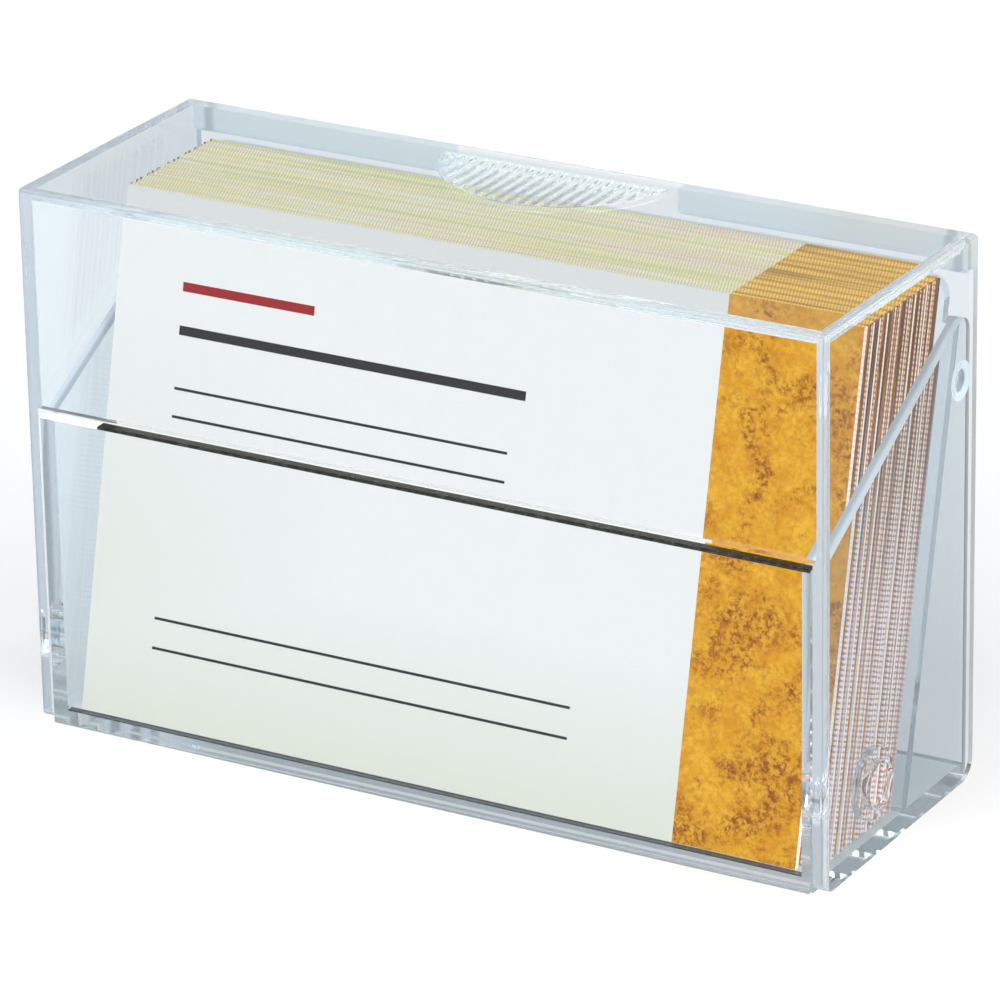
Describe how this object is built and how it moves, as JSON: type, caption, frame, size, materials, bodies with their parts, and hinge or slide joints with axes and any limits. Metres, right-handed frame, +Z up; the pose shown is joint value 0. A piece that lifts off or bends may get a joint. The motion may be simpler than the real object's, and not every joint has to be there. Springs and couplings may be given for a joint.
{
  "type": "business card box",
  "caption": "Clear plastic box for business cards: a tray holds the cards leaning back, and a lid hinged low on its sides swings down in front.",
  "frame": {"origin": "middle of the closed box's footprint, on the table under the tray", "axes": "+X to the right along the box's length, +Y to the back through its depth, +Z up; the cards' printed faces look to -Y"},
  "size_m": [0.0936, 0.033, 0.0598],
  "materials": {
    "clear_plastic": "clear and polished, as moulded polystyrene",
    "card_stock": "uncoated printed board"
  },
  "bodies": {
    "tray": {"tray": "clear_plastic", "card_01": "card_stock", "card_02": "card_stock", "card_03": "card_stock", "card_04": "card_stock", "card_05": "card_stock", "card_06": "card_stock", "card_07": "card_stock", "card_08": "card_stock", "card_09": "card_stock", "card_10": "card_stock", "card_11": "card_stock", "card_12": "card_stock", "card_13": "card_stock", "card_14": "card_stock", "card_15": "card_stock", "card_16": "card_stock", "card_17": "card_stock", "card_18": "card_stock", "card_19": "card_stock", "card_20": "card_stock", "card_21": "card_stock", "card_22": "card_stock", "card_23": "card_stock", "card_24": "card_stock", "card_25": "card_stock", "card_26": "card_stock", "card_27": "card_stock", "card_28": "card_stock", "card_29": "card_stock", "card_30": "card_stock", "card_31": "card_stock", "card_32": "card_stock", "card_33": "card_stock", "card_34": "card_stock", "card_35": "card_stock", "card_36": "card_stock", "card_37": "card_stock", "card_38": "card_stock", "card_39": "card_stock", "card_40": "card_stock", "card_41": "card_stock", "card_42": "card_stock", "card_43": "card_stock", "card_44": "card_stock"},
    "lid": {"lid": "clear_plastic"}
  },
  "joints": [
    {"name": "lid_hinge", "type": "hinge", "parent": "tray", "child": "lid", "pos_m": [0, -0.00337, 0.00705], "axis": [1, 0, 0], "range_deg": [0, 109]}
  ]
}
